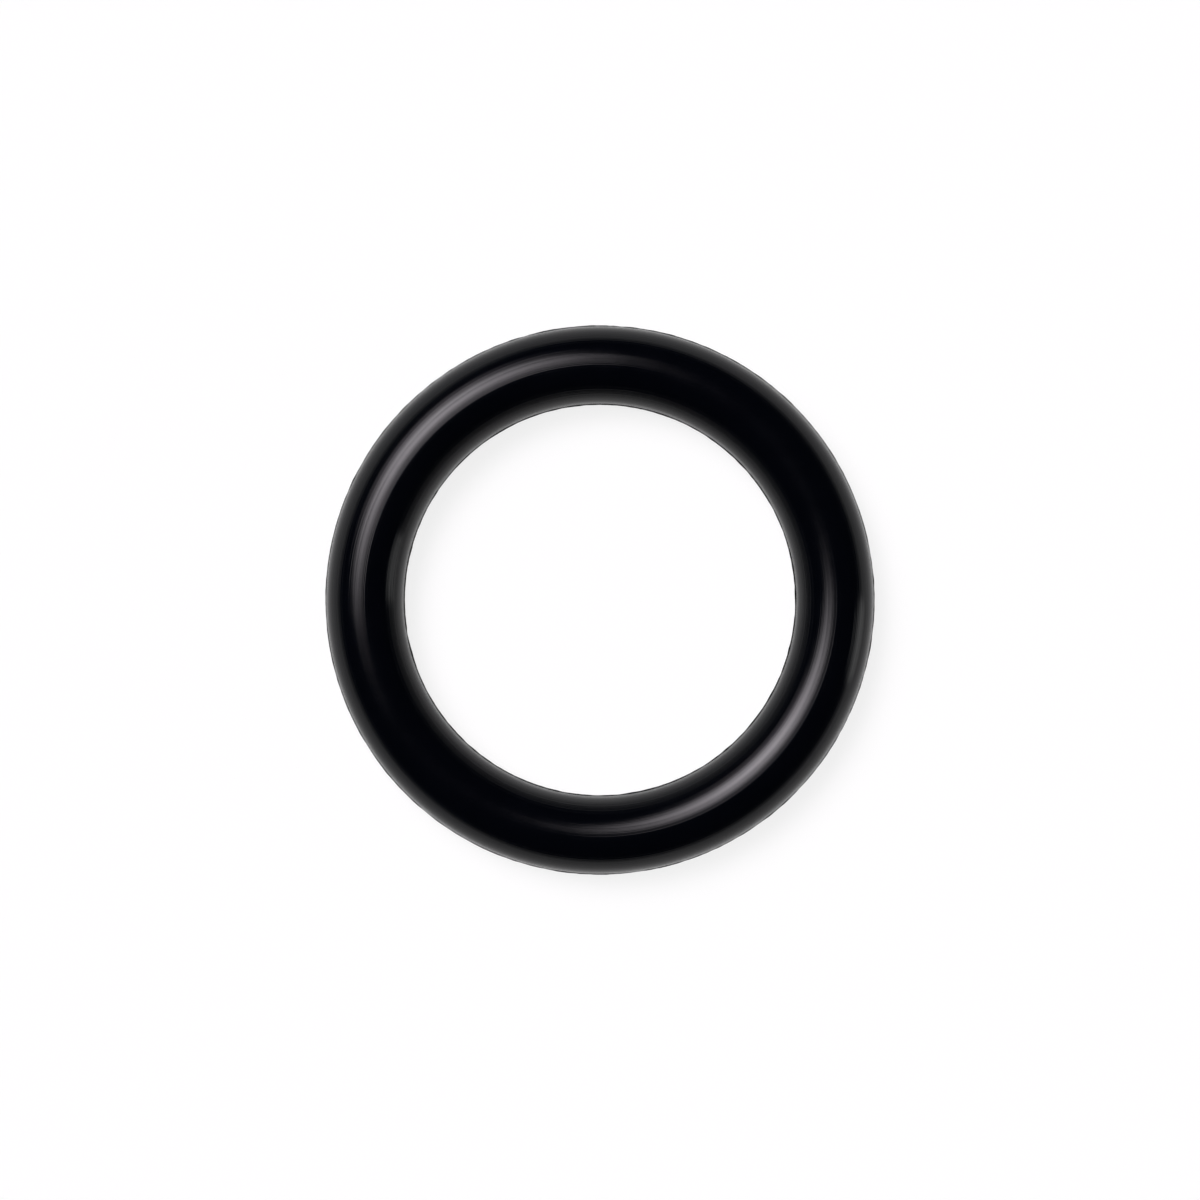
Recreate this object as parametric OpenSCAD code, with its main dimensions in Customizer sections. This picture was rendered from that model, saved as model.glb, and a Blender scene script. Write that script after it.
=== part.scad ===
// A rubber o-ring: a static seal, moulded in one piece from black rubber.
// It lies flat. +Z is the ring's own axis, and the origin is the centre of the ring,
// half way between its two sides. All sizes are in millimetres.

/* [Ring] */
// Inside diameter of the moulded ring
ring_id = 10; // [4:0.5:40]
// Diameter of the round section
section_d = 2; // [1:0.1:5]

/* [Parting line] */
// Height of the trimmed flash above the round section
flash_h = 0.03; // [0.01:0.01:0.1]
// Thickness of the trimmed flash, measured along the ring's axis
flash_t = 0.1; // [0.04:0.01:0.2]

/* [Hidden] */
$fn = 128;

// Radius of the circle that the centre of the section runs along
pitch_r = (ring_id + section_d) / 2;

// The section as the two halves of the mould leave it: a full circle, and where
// the halves meet, on the inner and the outer side, a low land of trimmed flash.
module moulded_section() {
    circle(d = section_d);
    square([section_d + 2 * flash_h, flash_t], center = true);
}

// The ring is that one section turned about its axis.
module o_ring() {
    color([0.02, 0.02, 0.024])
        rotate_extrude(convexity = 4)
            translate([pitch_r, 0])
                moulded_section();
}

o_ring();
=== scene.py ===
# %% [markdown]
# # A moulded rubber o-ring
#
# The object is one small part: a plain rubber ring with a round section, 10 mm across the hole
# and 2 mm thick. It lies flat on a white table, and the camera looks straight down on it. This
# script adds what the CAD model leaves out: the torn edge of the parting line, the surface that
# the mould gave the rubber, and the light. Blender works in metres here, and the ring is
# thought of in millimetres, so one factor, MM, turns the one into the other.

# %% Load the measured model
import math

import bpy
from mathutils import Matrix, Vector, noise


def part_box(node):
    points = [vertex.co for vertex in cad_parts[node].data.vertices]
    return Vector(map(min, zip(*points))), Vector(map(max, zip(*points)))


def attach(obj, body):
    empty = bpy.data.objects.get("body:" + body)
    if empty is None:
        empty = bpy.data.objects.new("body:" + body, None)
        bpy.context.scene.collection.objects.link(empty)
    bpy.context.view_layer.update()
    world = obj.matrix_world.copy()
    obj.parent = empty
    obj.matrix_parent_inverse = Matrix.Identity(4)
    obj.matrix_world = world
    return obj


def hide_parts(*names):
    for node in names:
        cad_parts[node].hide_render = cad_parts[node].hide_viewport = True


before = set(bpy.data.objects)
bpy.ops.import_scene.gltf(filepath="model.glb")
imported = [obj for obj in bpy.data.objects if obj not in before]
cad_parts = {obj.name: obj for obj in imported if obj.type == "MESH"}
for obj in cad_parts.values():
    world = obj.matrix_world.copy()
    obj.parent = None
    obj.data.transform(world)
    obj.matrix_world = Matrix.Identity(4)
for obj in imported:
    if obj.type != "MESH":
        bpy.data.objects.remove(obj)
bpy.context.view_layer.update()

MM = 0.001

# %% [markdown]
# ## Sizes
#
# The ring's own sizes could be typed in again, but they are read from the frame's box, so that
# the new mesh fills the same space as the CAD one. The box is as wide as the ring with its
# flash, the thin line of rubber that is left where the two halves of the mould meet.

# %% Sizes of the ring
FLASH_HEIGHT = 0.03 * MM
FLASH_THICKNESS = 0.10 * MM

node_low, node_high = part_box("o_ring")
section_radius = (node_high.z - node_low.z) / 2
outer_radius = node_high.x - FLASH_HEIGHT
pitch_radius = outer_radius - section_radius
floor_z = node_low.z
print(f"section radius {section_radius / MM:.4f} mm, pitch radius {pitch_radius / MM:.4f} mm")

# %% [markdown]
# ## Camera
#
# The photograph looks straight down on the middle of the ring, so the camera hangs above it and
# needs no turn at all: a new camera in Blender already looks down. How much of the scene it sees
# follows from the picture, a frame of 1200 pixels. From its middle to the side of the ring's
# box, where the flash is at its highest, it is 275 pixels, and that gives the width of the frame
# in millimetres.
# The lens is a long one, as product photographers use for small parts, some 130 millimetres
# above the ring. A shorter lens would come closer and move both highlights outwards by a few
# pixels, but it would also stretch the near side of the ring in every view from the side.

# %% Camera
FRAME_PIXELS = 1200
BOX_SIDE_PIXELS = 275
LENS_MM = 150
SENSOR_MM = 36
NEAREST_SEEN = 1 * MM
FARTHEST_SEEN = 1000 * MM

frame_width = FRAME_PIXELS * node_high.x / BOX_SIDE_PIXELS
camera_height = frame_width * LENS_MM / SENSOR_MM

camera_data = bpy.data.cameras.new("camera")
camera_data.lens = LENS_MM
camera_data.sensor_width = SENSOR_MM
camera_data.clip_start = NEAREST_SEEN
camera_data.clip_end = FARTHEST_SEEN
camera = bpy.data.objects.new("camera", camera_data)
camera.location = (0, 0, camera_height)
bpy.context.scene.collection.objects.link(camera)
bpy.context.scene.camera = camera
print(f"the frame is {frame_width / MM:.1f} mm wide, from {camera_height / MM:.0f} mm above")

# %% [markdown]
# ## Helpers for materials
#
# Colours are written as hex values, as on a web page, and those are made for the eye. The
# renderer counts light, so the first function turns each channel to linear light. The second
# adds one node to a material's tree, sets its values and joins it to the nodes before it. A
# socket goes by its name, or by its number where several sockets have one name. The third makes
# the empty material that the nodes go into.

# %% Helpers for colours and nodes
def linear(hex_colour):
    """An sRGB hex colour such as "#0A0A0C" as linear red, green, blue and alpha."""
    channels = [int(hex_colour[i:i + 2], 16) / 255 for i in (1, 3, 5)]
    light = [c / 12.92 if c <= 0.04045 else ((c + 0.055) / 1.055) ** 2.4 for c in channels]
    return (*light, 1.0)


def add_node(tree, kind, settings=None, values=None, links=None):
    """Adds a node. settings are its own options, values are set on its sockets, and links
    joins its sockets to outputs of other nodes."""
    node = tree.nodes.new(kind)
    for name, value in (settings or {}).items():
        setattr(node, name, value)
    for socket, value in (values or {}).items():
        node.inputs[socket].default_value = value
    for socket, output in (links or {}).items():
        tree.links.new(output, node.inputs[socket])
    return node


def new_material(name):
    """An empty material with a node tree, and that tree."""
    material = bpy.data.materials.new(name)
    material.use_nodes = True
    material.node_tree.nodes.clear()
    return material, material.node_tree


print(f"a grey of #808080 sends back {linear('#808080')[0]:.2f} of the light")

# %% [markdown]
# ## Table
#
# The ring lies on a white table that curves up into a low white wall all round, so that no edge
# shows behind the ring from any side. It is one profile, turned about the vertical axis: flat,
# then a quarter of a circle, then straight up. A plane with one bent edge would do for one
# view, but the ring is seen from all sides. The wall is only as high as a camera at table height
# needs, because the ring mirrors it.

# %% A profile turned about the axis
def turned_mesh(name, profile, segments):
    """A surface made by turning (radius, height) points about the Z axis. One flat face closes
    the circle of the first point."""
    points, faces = [], []
    for i in range(segments):
        angle = 2 * math.pi * i / segments
        points += [(r * math.cos(angle), r * math.sin(angle), z) for r, z in profile]
    count = len(profile)
    for i in range(segments):
        here, there = i * count, (i + 1) % segments * count
        faces += [(here + j, here + j + 1, there + j + 1, there + j) for j in range(count - 1)]
    faces.append([i * count for i in range(segments)])
    mesh = bpy.data.meshes.new(name)
    mesh.from_pydata(points, [], faces)
    return mesh


# %% Table with a curved edge
TABLE_RADIUS = 600 * MM
COVE_RADIUS = 60 * MM
WALL_HEIGHT = 85 * MM
TABLE_SEGMENTS = 96
COVE_STEPS = 12

cove_angles = [math.pi / 2 * i / COVE_STEPS for i in range(COVE_STEPS + 1)]
cove = [
    (
        TABLE_RADIUS - COVE_RADIUS * (1 - math.sin(angle)),
        floor_z + COVE_RADIUS * (1 - math.cos(angle)),
    )
    for angle in cove_angles
]
wall_top = (TABLE_RADIUS, floor_z + WALL_HEIGHT)
table_mesh = turned_mesh("table", [*cove, wall_top], TABLE_SEGMENTS)
table_mesh.shade_smooth()
table = bpy.data.objects.new("table", table_mesh)
bpy.context.scene.collection.objects.link(table)
print(f"the table is {2 * TABLE_RADIUS:.1f} m across")

# %% [markdown]
# The table's paint is matt and nearly white. In the photograph the background is pure white and
# has no shadow. More light would do that, but it would also bleach the ring. So the paint glows,
# and only for rays that come from the camera or from a mirror or a glass: the glow lights
# nothing, the ring's reflections still show the white table, and what is left of the matt paint
# keeps the ring's soft shadow. Under the rubber the glow fades, down to nothing where the two
# touch, so that the ring stands in a dark contact line. That line is a painted contact shadow,
# laid over the real shade that the matt paint gets there. The lamp's light gets weaker away from
# the middle of the table, so the glow takes over from there outwards, and the wall is as white
# as the table.

# %% How much the table paint glows
TABLE_GLOW = 0.85
PAINTED_SHADE_REACH = 1.0 * section_radius
FULL_LIGHT_END = 15 * MM
GLOW_ONLY_START = 80 * MM

paint, paint_tree = new_material("matt_white_table_paint")
place = add_node(paint_tree, "ShaderNodeTexCoord")
from_axis = add_node(
    paint_tree, "ShaderNodeVectorMath", {"operation": "LENGTH"},
    links={0: place.outputs["Object"]},
)
outwards = add_node(
    paint_tree, "ShaderNodeMath", {"operation": "SUBTRACT"}, {1: pitch_radius},
    {0: from_axis.outputs["Value"]},
)
from_contact = add_node(
    paint_tree, "ShaderNodeMath", {"operation": "ABSOLUTE"},
    links={0: outwards.outputs["Value"]},
)
# Painted contact shadow: the glow is cut to nothing where the ring touches the table, and it
# comes back one section's radius away from there.
painted_contact_shade = add_node(
    paint_tree, "ShaderNodeMapRange", {"interpolation_type": "SMOOTHSTEP"},
    {"From Min": 0.0, "From Max": PAINTED_SHADE_REACH, "To Min": 0.0, "To Max": 1.0},
    {"Value": from_contact.outputs["Value"]},
)
glow_at_radius = add_node(
    paint_tree, "ShaderNodeMapRange", {"interpolation_type": "SMOOTHSTEP"},
    {
        "From Min": FULL_LIGHT_END,
        "From Max": GLOW_ONLY_START,
        "To Min": TABLE_GLOW,
        "To Max": 1.0,
    },
    {"Value": from_axis.outputs["Value"]},
)
glow_here = add_node(
    paint_tree, "ShaderNodeMath", {"operation": "MULTIPLY"},
    links={0: painted_contact_shade.outputs["Result"], 1: glow_at_radius.outputs["Result"]},
)
print(f"the paint glows by {TABLE_GLOW} up to {FULL_LIGHT_END / MM:.0f} mm from the axis")

# %% Table paint
TABLE_COLOUR = "#F7F7F7"
GLOW_COLOUR = "#FFFFFF"

path = add_node(paint_tree, "ShaderNodeLightPath")
mirrored = add_node(
    paint_tree, "ShaderNodeMath", {"operation": "MAXIMUM"},
    links={0: path.outputs["Is Glossy Ray"], 1: path.outputs["Is Transmission Ray"]},
)
seen = add_node(
    paint_tree, "ShaderNodeMath", {"operation": "MAXIMUM"},
    links={0: path.outputs["Is Camera Ray"], 1: mirrored.outputs["Value"]},
)
share = add_node(
    paint_tree, "ShaderNodeMath", {"operation": "MULTIPLY"},
    links={0: glow_here.outputs["Value"], 1: seen.outputs["Value"]},
)
matt = add_node(paint_tree, "ShaderNodeBsdfDiffuse", values={"Color": linear(TABLE_COLOUR)})
glow = add_node(
    paint_tree, "ShaderNodeEmission", values={"Color": linear(GLOW_COLOUR), "Strength": 1.0}
)
mixed = add_node(
    paint_tree, "ShaderNodeMixShader",
    links={0: share.outputs["Value"], 1: matt.outputs["BSDF"], 2: glow.outputs["Emission"]},
)
add_node(paint_tree, "ShaderNodeOutputMaterial", links={"Surface": mixed.outputs["Shader"]})
table_mesh.materials.append(paint)
print(f"the matt paint sends back {linear(TABLE_COLOUR)[0]:.2f} of the light")

# %% [markdown]
# ## Light
#
# Black rubber shows almost nothing but the lamps that it mirrors. The photograph has one pair of
# highlights, a long crescent on the outer slope at the upper left and its twin on the inner
# slope at the lower right, and both come from one lamp. A round bar mirrors a lamp where its
# surface is tilted half as far as the lamp is. The mean of the section's tilts at the two
# crescents is 13 to 14 degrees, so the lamp stands 27 degrees off the vertical, to the upper
# left.
# The crescents fade out softly. A plain disk of light would end them sharply, but a large
# round softbox with a honeycomb grid doesn't: the grid lets through only light that runs nearly
# straight, so the box dims towards its rim. The lamp's spread does the same here. Its power is
# just enough to show a colour as it is written, and no more.

# %% Key light
KEY_AZIMUTH = math.radians(137)
KEY_TILT = math.radians(27)
KEY_DISTANCE = 400 * MM
KEY_HALF_ANGLE = math.radians(21.5)
KEY_WATTS = 0.30
KEY_COLOUR = "#FFF8FF"


def aim_light(name, shape, azimuth, tilt, distance, **settings):
    """An area light in a direction from the ring, turned to face it."""
    data = bpy.data.lights.new(name, "AREA")
    data.shape = shape
    for key, value in settings.items():
        setattr(data, key, value)
    lamp = bpy.data.objects.new(name, data)
    direction = Vector((
        math.sin(tilt) * math.cos(azimuth), math.sin(tilt) * math.sin(azimuth), math.cos(tilt)
    ))
    lamp.location = direction * distance
    lamp.rotation_euler = direction.to_track_quat("Z", "Y").to_euler()
    bpy.context.scene.collection.objects.link(lamp)
    return lamp


softbox = aim_light(
    "key_softbox", "DISK", KEY_AZIMUTH, KEY_TILT, KEY_DISTANCE,
    size=2 * KEY_DISTANCE * math.tan(KEY_HALF_ANGLE),
    spread=2 * KEY_HALF_ANGLE,
    energy=KEY_WATTS,
    color=linear(KEY_COLOUR)[:3],
)
print(f"the softbox is {softbox.data.size:.2f} m across, {KEY_DISTANCE:.2f} m away")

# %% [markdown]
# A small oval reflector stands low on the right and returns a little light. It is what the inner
# wall of the hole mirrors on its left side, as a short dim patch. A white card would need a lamp
# of its own, so an area light of the same shape stands for the card and its light. The room
# itself is nearly dark, so that nothing else shows in the rubber.

# %% Reflector
REFLECTOR_AZIMUTH = math.radians(-9)
REFLECTOR_TILT = math.radians(83)
REFLECTOR_DISTANCE = 300 * MM
REFLECTOR_WIDTH = 100 * MM
REFLECTOR_HEIGHT = 120 * MM
REFLECTOR_WATTS = 0.075

reflector = aim_light(
    "oval_reflector", "ELLIPSE", REFLECTOR_AZIMUTH, REFLECTOR_TILT, REFLECTOR_DISTANCE,
    size=REFLECTOR_WIDTH,
    size_y=REFLECTOR_HEIGHT,
    energy=REFLECTOR_WATTS,
)
print(f"the reflector stands {reflector.location.z / MM:.0f} mm above the ring's middle")

# %% Room
ROOM_COLOUR = "#1C1C1C"

world = bpy.data.worlds.new("dark_room")
bpy.context.scene.world = world
world.use_nodes = True
world.node_tree.nodes["Background"].inputs["Color"].default_value = linear(ROOM_COLOUR)
bpy.context.scene.view_settings.view_transform = "Standard"
print(f"the room sends {linear(ROOM_COLOUR)[0]:.3f} of the light that white would")

# %% [markdown]
# ## Ring
#
# Such rings are pressed from hot rubber between two steel plates, each with half of the round
# section cut into it. Where the plates meet, on the inner and the outer side, a little rubber
# creeps out. It is torn off afterwards and leaves a thin line with an uneven edge. The
# photograph is too coarse to show it, so its size here is a guess: a tenth of a millimetre wide
# and a few hundredths high.
# A torus from Blender's menu has no such line, and a bump map would leave it out of the outline.
# So the section is written as a formula, round with a low ridge at both sides, and swept round
# the axis. The points lie closer together across the two ridges.

# %% Angles round the section
# The close points reach a quarter further than the flash, on both sides of it.
RIDGE_REACH = 1.25
RIDGE_POINTS = 13
SLOPE_POINTS = 68


def section_angles():
    """Angles round the section, from the outer side over the top and back, in radians."""
    reach = RIDGE_REACH * FLASH_THICKNESS / 2 / section_radius
    slope = math.pi - 2 * reach
    angles = []
    for middle in (0, math.pi):
        for i in range(RIDGE_POINTS):
            angles.append(middle - reach + 2 * reach * i / (RIDGE_POINTS - 1))
        for i in range(SLOPE_POINTS):
            angles.append(middle + reach + slope * (i + 1) / (SLOPE_POINTS + 1))
    return angles


angles = section_angles()
print(f"{len(angles)} points round the section, {RIDGE_POINTS} of them across each ridge")

# %% [markdown]
# The ridge is what is left of the flash. Its edge is torn, so its height wanders along the ring:
# a noise with waves of a third of a millimetre, and finer ones on top, sets it between a low
# stump and the full height that the CAD model has. A displace modifier would move the whole
# surface, and here only the ridge may move, so the noise is part of the formula. The inner and
# the outer flash are torn off separately, and each has its own stretch of the noise.

# %% Height of the torn flash
# The share of the flash's thickness that is flat on top, and the share of its height that
# always stays.
RIDGE_FLAT = 0.6
LOWEST_RIDGE = 0.3
# Three sizes of waves, each half as long as the one before, and weaker.
TEAR_LENGTH = 0.35 * MM
TEAR_FADE = 0.8
TEAR_RATIO = 2.0
TEAR_WAVES = 3


def smooth_step(low, high, value):
    """0 below low, 1 above high, and a smooth rise between them."""
    t = min(max((value - low) / (high - low), 0), 1)
    return t * t * (3 - 2 * t)


def ridge_height(angle, around):
    """How far the trimmed flash stands out of the round section, in metres."""
    from_middle = abs(math.sin(angle)) * section_radius / (FLASH_THICKNESS / 2)
    shape = 1 - smooth_step(RIDGE_FLAT, 1.0, from_middle)
    if shape == 0:
        return 0
    side = 1 if math.cos(angle) > 0 else -1
    radius = pitch_radius + side * section_radius
    place = Vector((radius * math.cos(around), radius * math.sin(around), side * MM))
    torn = 0.5 + 0.5 * noise.fractal(place / TEAR_LENGTH, TEAR_FADE, TEAR_RATIO, TEAR_WAVES)
    level = LOWEST_RIDGE + (1 - LOWEST_RIDGE) * min(max(torn, 0), 1)
    return FLASH_HEIGHT * shape * level


print(f"at its first point the outer ridge is {ridge_height(0, 0) / MM:.3f} mm high")

# %% [markdown]
# A round curve with a bevel makes a ring too, but its section can't change on the way. The
# sweep puts one copy of the section's points at each step round the axis, each with its own
# ridge, and joins every point to its neighbours, round the section and round the ring, so the
# mesh closes on itself both ways. The same grid, rolled out flat, is the map of the surface: its
# first number goes once round the ring, and its second once round the section.

# %% Sweep the section round the axis
AROUND = 512
CORNER_STEPS = ((0, 0), (1, 0), (1, 1), (0, 1))


def ring_point(angle, around):
    """A point of the ring's surface, in metres."""
    reach = section_radius + ridge_height(angle, around)
    radius = pitch_radius + reach * math.cos(angle)
    return (radius * math.cos(around), radius * math.sin(around), reach * math.sin(angle))


turns = [2 * math.pi * i / AROUND for i in range(AROUND)]
points = [ring_point(angle, turn) for turn in turns for angle in angles]
count = len(angles)
cells = [
    [(i + step_on, j + step_round) for step_on, step_round in CORNER_STEPS]
    for i in range(AROUND)
    for j in range(count)
]
faces = [[i % AROUND * count + j % count for i, j in cell] for cell in cells]
ring_mesh = bpy.data.meshes.new("moulded_ring")
ring_mesh.from_pydata(points, [], faces)
ring_mesh.shade_smooth()
print(f"the ring has {2 * len(faces)} triangles")

# %% Roll the surface out flat
surface_map = ring_mesh.uv_layers.new(name="OFBake")
surface_map.data.foreach_set(
    "uv", [number for cell in cells for i, j in cell for number in (i / AROUND, j / count)]
)
ring = bpy.data.objects.new("moulded_ring", ring_mesh)
bpy.context.scene.collection.objects.link(ring)
print(f"its map has {AROUND} by {count} cells")

# %% [markdown]
# ## Rubber
#
# O-rings are mostly nitrile rubber, filled with carbon black, so the body is as black as a
# material gets and nearly all that is seen is its shine. The surface is a print of the mould: a
# turned and polished groove in steel. That gives a smooth, satin face with very fine lines that
# run along the ring, and a shine that is a little uneven where the rubber has wetted the steel
# better or worse.
# The typical index of refraction of rubber is about 1.52, and that value stays. The highlights
# of the photograph are dimmer than clean rubber would show in this light, and its black is
# deeper, so the specular level and the two blacks are lower than usual. The roughness is that of
# a polished mould.
# The uneven shine could be painted by hand on an image. A noise needs no picture and no seam,
# and its patches are just under a millimetre wide, not quite half as wide as the rubber is
# thick.

# %% Moulded nitrile rubber
RUBBER_BLACK = "#010205"
RUBBER_GREY = "#030408"
ROUGHNESS_LOW = 0.11
ROUGHNESS_HIGH = 0.14
BLOOM_SIZE_MM = 0.9
BLOOM_DETAIL = 3.0
BLOOM_LOW = 0.3
BLOOM_HIGH = 0.7
# The mix node has sockets for numbers and for colours under the same names. These are its
# factor, its two colours and their mixture.
MIX_FACTOR, MIX_FIRST, MIX_SECOND, MIX_RESULT = 0, 6, 7, 2

rubber, rubber_tree = new_material("moulded_nitrile_rubber")
place = add_node(rubber_tree, "ShaderNodeTexCoord")
in_mm = add_node(
    rubber_tree, "ShaderNodeVectorMath", {"operation": "SCALE"}, {"Scale": 1 / MM},
    {0: place.outputs["Object"]},
)
bloom = add_node(
    rubber_tree, "ShaderNodeTexNoise",
    values={"Scale": 1 / BLOOM_SIZE_MM, "Detail": BLOOM_DETAIL},
    links={"Vector": in_mm.outputs["Vector"]},
)
colour = add_node(
    rubber_tree, "ShaderNodeMix", {"data_type": "RGBA"},
    {MIX_FIRST: linear(RUBBER_BLACK), MIX_SECOND: linear(RUBBER_GREY)},
    {MIX_FACTOR: bloom.outputs["Fac"]},
)
roughness = add_node(
    rubber_tree, "ShaderNodeMapRange",
    values={
        "From Min": BLOOM_LOW,
        "From Max": BLOOM_HIGH,
        "To Min": ROUGHNESS_LOW,
        "To Max": ROUGHNESS_HIGH,
    },
    links={"Value": bloom.outputs["Fac"]},
)
print(f"roughness from {ROUGHNESS_LOW} to {ROUGHNESS_HIGH}, in patches of {BLOOM_SIZE_MM} mm")

# %% [markdown]
# The turning lines need a coordinate that runs round the section, and the rolled-out map has
# one: its second number goes once round the section from 0 to 1. A noise that changes only along
# it is a set of closed rings of uneven depth, as a turning tool leaves them. Its steps are about
# two hundredths of a millimetre long, and shorter across the ridges, where the mesh's points lie
# closer. That is less than a pixel of the photograph's view, so there the lines show as a whole:
# each highlight is spread out across the rubber and stays crisp along it. In closer views from
# the side they show as fine streaks. As shapes they would need millions of faces for a depth
# that nobody sees, so a bump is enough. On top comes a grain of a twentieth of a millimetre, so
# shallow that it only breaks up the shine. The heights are in millimetres, which the bump node
# turns to metres by its distance.

# %% Turning lines and grain
TURNING_PITCH_MM = 0.02
TURNING_DEPTH_MM = 0.0028
TURNING_DETAIL = 1.0
GRAIN_SIZE_MM = 0.05
GRAIN_DEPTH_MM = 0.0003
GRAIN_DETAIL = 2.0

line_count = 2 * math.pi * section_radius / MM / TURNING_PITCH_MM
on_map = add_node(rubber_tree, "ShaderNodeUVMap", {"uv_map": surface_map.name})
axes = add_node(rubber_tree, "ShaderNodeSeparateXYZ", links={0: on_map.outputs["UV"]})
lines = add_node(
    rubber_tree, "ShaderNodeTexNoise", {"noise_dimensions": "1D"},
    {"Scale": line_count, "Detail": TURNING_DETAIL}, {"W": axes.outputs["Y"]},
)
line_height = add_node(
    rubber_tree, "ShaderNodeMath", {"operation": "MULTIPLY"}, {1: TURNING_DEPTH_MM},
    {0: lines.outputs["Fac"]},
)
grain = add_node(
    rubber_tree, "ShaderNodeTexNoise",
    values={"Scale": 1 / GRAIN_SIZE_MM, "Detail": GRAIN_DETAIL},
    links={"Vector": in_mm.outputs["Vector"]},
)
height = add_node(
    rubber_tree, "ShaderNodeMath", {"operation": "MULTIPLY_ADD"}, {1: GRAIN_DEPTH_MM},
    {0: grain.outputs["Fac"], 2: line_height.outputs["Value"]},
)
bump = add_node(
    rubber_tree, "ShaderNodeBump", values={"Strength": 1.0, "Distance": MM},
    links={"Height": height.outputs["Value"]},
)
print(f"{line_count:.0f} turning lines round the section")

# %% Finish of the rubber
RUBBER_IOR = 1.52
RUBBER_SPECULAR = 0.17

shader = add_node(
    rubber_tree, "ShaderNodeBsdfPrincipled",
    values={"IOR": RUBBER_IOR, "Specular IOR Level": RUBBER_SPECULAR},
    links={
        "Base Color": colour.outputs[MIX_RESULT],
        "Roughness": roughness.outputs["Result"],
        "Normal": bump.outputs["Normal"],
    },
)
add_node(rubber_tree, "ShaderNodeOutputMaterial", links={"Surface": shader.outputs["BSDF"]})
ring_mesh.materials.append(rubber)
print(f"the rubber's material has {len(rubber_tree.nodes)} nodes")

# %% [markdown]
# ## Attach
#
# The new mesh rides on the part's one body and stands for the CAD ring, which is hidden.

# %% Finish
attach(ring, "root")
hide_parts("o_ring")
